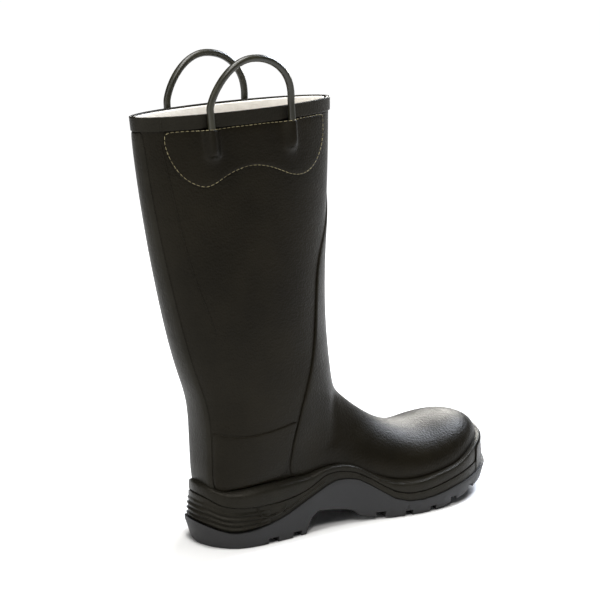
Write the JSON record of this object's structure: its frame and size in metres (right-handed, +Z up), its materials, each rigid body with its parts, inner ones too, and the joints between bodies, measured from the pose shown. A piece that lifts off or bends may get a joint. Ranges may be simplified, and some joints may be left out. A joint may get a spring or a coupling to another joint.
{
  "type": "fire boot",
  "caption": "Knee-length pull-on rubber firefighting boot with capped toe, cleated outsole, wavy ribbed foxing and cord pull loops at the rim.",
  "frame": {"origin": "on the ground under the middle of the boot's bounding box", "axes": "+X from the heel to the toe, +Y to the inner side of the right foot, +Z up the leg"},
  "size_m": [0.3704, 0.1102, 0.4156],
  "materials": {
    "leg_rubber": "satin, finely pebbled",
    "trim_rubber": "satin, finely pebbled",
    "sole_rubber": "matt",
    "loop_rubber": "smooth satin",
    "felt": "felt with cotton face",
    "foam": "matt foam",
    "board": "pressed fibre board",
    "steel": "satin"
  },
  "bodies": {
    "boot": {"leg_shell": "leg_rubber", "foot_shell": "leg_rubber", "lining": "felt", "heel_stiffener": "board", "front_guard": "leg_rubber", "backstay": "trim_rubber", "heel_cover_outer": "leg_rubber", "heel_cover_inner": "leg_rubber", "rim_band": "trim_rubber", "loop_patch_outer": "leg_rubber", "loop_patch_inner": "leg_rubber", "loop_leg_outer_front": "loop_rubber", "loop_leg_outer_rear": "loop_rubber", "loop_leg_inner_front": "loop_rubber", "loop_leg_inner_rear": "loop_rubber", "outsole": "sole_rubber", "midsole": "sole_rubber", "heel_filler": "foam", "ladder_shank": "steel", "foxing_strip": "trim_rubber", "heel_bumper": "trim_rubber", "toe_bumper": "trim_rubber", "insole_board": "board", "footbed": "foam", "steel_midsole_plate": "steel", "steel_toe_cap": "steel", "toe_cap_binding": "trim_rubber"},
    "loop_outer": {"pull_loop_outer": "loop_rubber"},
    "loop_inner": {"pull_loop_inner": "loop_rubber"}
  },
  "joints": [
    {"name": "loop_outer_bend", "type": "hinge", "parent": "boot", "child": "loop_outer", "pos_m": [-0.09393, -0.03213, 0.37557], "axis": [0.9991, -0.0168, 0.0382], "range_deg": [-25, 60], "stiffness_Nm_per_rad": 0.3},
    {"name": "loop_inner_bend", "type": "hinge", "parent": "boot", "child": "loop_inner", "pos_m": [-0.09393, 0.03711, 0.37557], "axis": [-0.9991, -0.0168, -0.0382], "range_deg": [-25, 60], "stiffness_Nm_per_rad": 0.3}
  ]
}
